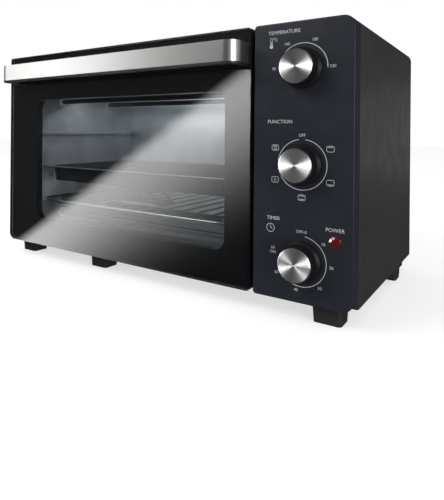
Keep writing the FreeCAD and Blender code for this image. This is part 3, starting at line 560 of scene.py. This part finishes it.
def timer_scale():
    ink = Print("timer_scale", DIALS["timer"])
    ink.arc(8, 262, 0.5 * MM, 0.7 * MM)
    ink.numbers((("OFF-0", 0, 3.4), ("10", 48, 3.8), ("20", 93, 4.2), ("30", 141, 4.2),
                 ("40", 190, 3.6), ("50", 240, 4.2)))
    x, z = around(RING + 5.0 * MM, 284)
    line = 1.9 * MM
    ink.words("60", DIGITS, x, z + line)
    ink.words("ON", DIGITS, x, z - line)
    ink.title("TIMER", 34.0 * MM)
    clock(ink, 3.6 * MM, ink.left + 3.6 * MM, 25.5 * MM)
    ink.done()


def clock(ink, radius, x, z):
    """A clock face, its long hand at 12 and its short hand near 4."""
    line = 0.45 * MM
    ink.ring(radius, line, x, z)
    ink.ribbon([(x, z + 2.4 * MM), (x, z)], line)
    ink.ribbon([(x, z), (x + 1.8 * MM, z - 0.8 * MM)], line)


def power_label():
    ink = Print("power_label", middle("power_lamp_lens"))
    ink.words("POWER", LETTERS, 0, 9.6 * MM)
    ink.done()


# ---------------------------------------------------------------- floor, light and camera

# The eye is level but for a slight roll, to the right of the door and near it.
EYE = Vector((0.3306, -0.5026, 0.1627))
EYE_TURN = math.radians(35.67)
EYE_ROLL = math.radians(0.5)
OVEN_MIDDLE = (0, 0, 0.12)
DIAL_HEIGHT = 0.135
DIALS_MIDDLE = (0.18, FRONT, DIAL_HEIGHT)


def mirrored(x, z, reach=3.0):
    """Where the eye's line goes from a point on the glass, some way out in front of the door."""
    return (x + reach * (x - EYE.x), FRONT + reach * (EYE.y - FRONT), z + reach * (z - EYE.z))


def stage_plane(name, corners, material):
    mesh = bpy.data.meshes.new(name)
    mesh.from_pydata(corners, [], [tuple(range(len(corners)))])
    mesh.materials.append(material)
    plane = bpy.data.objects.new(name, mesh)
    bpy.context.collection.objects.link(plane)
    return plane


def floor():
    """White paper that glows a little. What shines doesn't mirror it."""
    recipe = Recipe("floor_paper", (0.40, 0.40, 0.40), 0.7)
    recipe.shade(0.01, recipe.noise(3))
    recipe.shader.inputs["Emission Color"].default_value = (1, 1, 1, 1)
    recipe.shader.inputs["Emission Strength"].default_value = 0.62
    reach = 6.0
    corners = [(-reach, -reach, 0.0), (reach, -reach, 0.0), (reach, reach, 0.0), (-reach, reach, 0.0)]
    stage_plane("floor", corners, recipe.material).visible_glossy = False


def link_light(source, pieces, state):
    """Keep a light or a glowing card for the given pieces, or away from them."""
    receivers = bpy.data.collections.new(source.name + "_receivers")
    for piece in pieces:
        receivers.objects.link(piece)
    for member in receivers.collection_objects:
        member.light_linking.link_state = state
    source.light_linking.receiver_collection = receivers


def glowing_card(name, corners, strength, start, end, soft, only):
    """A card that one piece mirrors. It glows from a soft-edged line at the start, and fades out
    towards the end; soft is the share of the way that the soft edge takes."""
    material = bpy.data.materials.new(name)
    shading = Shading(material)
    way = Vector(end) - Vector(start)
    offset = shading.add("ShaderNodeVectorMath", operation="SUBTRACT")
    offset.inputs[1].default_value = start
    shading.link(shading.add("ShaderNodeTexCoord").outputs["Object"], offset.inputs[0])
    along = shading.add("ShaderNodeVectorMath", operation="DOT_PRODUCT")
    along.inputs[1].default_value = way / way.length_squared
    shading.link(offset.outputs[0], along.inputs[0])
    share = along.outputs["Value"]
    rising = shading.ranged(share, 0, strength, 0, soft, interpolation_type="SMOOTHSTEP")
    falling = shading.ranged(share, 1, 0, soft, 1, interpolation_type="SMOOTHSTEP")
    steeper = shading.maths("POWER", falling, 2.6)
    glow = shading.add("ShaderNodeEmission")
    shading.link(shading.maths("MULTIPLY", rising, steeper), glow.inputs["Strength"])
    shading.show(glow)
    card = stage_plane(name, corners, material)
    card.visible_camera = False
    card.visible_diffuse = False
    card.visible_shadow = False
    link_light(card, [only], "INCLUDE")


def door_card(pane_piece):
    """The diagonal reflection on the door: bright along an edge that rises to the right."""
    edge = Vector((0.327, 0.202)).normalized()
    across = Vector((edge.y, -edge.x))
    edge_middle = Vector((-0.02, 0.131))
    line = edge_middle - across * 0.006
    faded = edge_middle + across * 0.175
    ends = edge * 0.30
    width = across * 0.4
    corners = [line - ends, line - ends + width, line + ends + width, line + ends]
    glowing_card("door_card", [mirrored(*corner) for corner in corners], strength=8.6,
                 start=mirrored(*line), end=mirrored(*faded), soft=0.10, only=pane_piece)


def world():
    """A white surround for the eye, and a dark one for what shines."""
    surround = bpy.data.worlds.new("surround")
    shading = Shading(surround, "ShaderNodeOutputWorld")
    background = shading.add("ShaderNodeBackground")
    background.inputs["Color"].default_value = (1, 1, 1, 1)
    is_glossy = shading.add("ShaderNodeLightPath").outputs["Is Glossy Ray"]
    shading.link(shading.ranged(is_glossy, 1.0, 0.06), background.inputs["Strength"])
    shading.show(background)
    bpy.context.scene.world = surround


def area_light(name, place, aim, size, watts, only=(), without=()):
    """A soft light. It may fall on some pieces only, or on all but some."""
    data = bpy.data.lights.new(name, "AREA")
    data.shape = "RECTANGLE"
    data.size, data.size_y = size
    data.energy = watts
    light = bpy.data.objects.new(name, data)
    light.location = place
    light.rotation_euler = (Vector(aim) - Vector(place)).to_track_quat("-Z", "Y").to_euler()
    light.visible_camera = False
    bpy.context.collection.objects.link(light)
    if only:
        link_light(light, only, "INCLUDE")
    if without:
        link_light(light, without, "EXCLUDE")


def lights():
    """A key and a fill for all, and small lights that each bring out one thing."""
    caps = [nodes[name + "_knob_cap"] for name in DIALS]
    room = [nodes[name] for name in ("cavity_left_wall", "cavity_right_wall", "cavity_floor",
                                     "cavity_back", "rack_rails_left", "rack_rails_right")]
    area_light("key", (-0.9, -1.3, 1.3), OVEN_MIDDLE, size=(1.2, 0.9), watts=22, without=caps)
    area_light("fill", (1.6, -0.8, 0.3), OVEN_MIDDLE, size=(0.8, 1.0), watts=12)
    area_light("side_sheen", (0.55, 1.2, 0.16), (0.225, 0.05, 0.08), size=(0.5, 0.3), watts=0.12,
               only=[nodes["outer_housing"]])
    area_light("inside_high", (-0.05, 0.0, 0.214), (-0.05, 0.05, 0.10), size=(0.26, 0.06), watts=0.3,
               only=room + [nodes["baking_tray"]])
    area_light("inside_low", (-0.05, -0.09, 0.088), (-0.05, 0.06, 0.05), size=(0.26, 0.01), watts=0.14,
               only=room)
    area_light("handle_glow", mirrored(-0.12, 0.235), (-0.12, FRONT, 0.235), size=(0.5, 0.5), watts=2.6,
               only=[nodes["handle_plate"]])
    area_light("caps_right", (1.2, -1.6, DIAL_HEIGHT), DIALS_MIDDLE, size=(0.5, 1.0), watts=32, only=caps)
    area_light("caps_front", mirrored(0.18, DIAL_HEIGHT), DIALS_MIDDLE, size=(1.0, 1.0), watts=1.2,
               only=caps)
    area_light("caps_left", (-1.6, -0.9, DIAL_HEIGHT), DIALS_MIDDLE, size=(0.5, 1.0), watts=32,
               only=caps + [nodes["power_lamp_lens"]])


def camera():
    """A lens of the photograph's angle of view, shifted to frame the oven as it does."""
    data = bpy.data.cameras.new("camera")
    data.sensor_width = 36
    data.lens = 34.32
    data.shift_x = 0.0914
    data.shift_y = -0.238
    eye = bpy.data.objects.new("camera", data)
    eye.location = EYE
    eye.rotation_euler = (math.pi / 2, 0, EYE_TURN)
    eye.rotation_euler.rotate_axis("Z", EYE_ROLL)
    bpy.context.collection.objects.link(eye)
    bpy.context.scene.camera = eye


shown_pane = door_pane()
temperature_scale()
function_scale()
timer_scale()
power_label()
floor()
world()
door_card(shown_pane)
lights()
camera()
bpy.context.scene.view_settings.view_transform = "Standard"
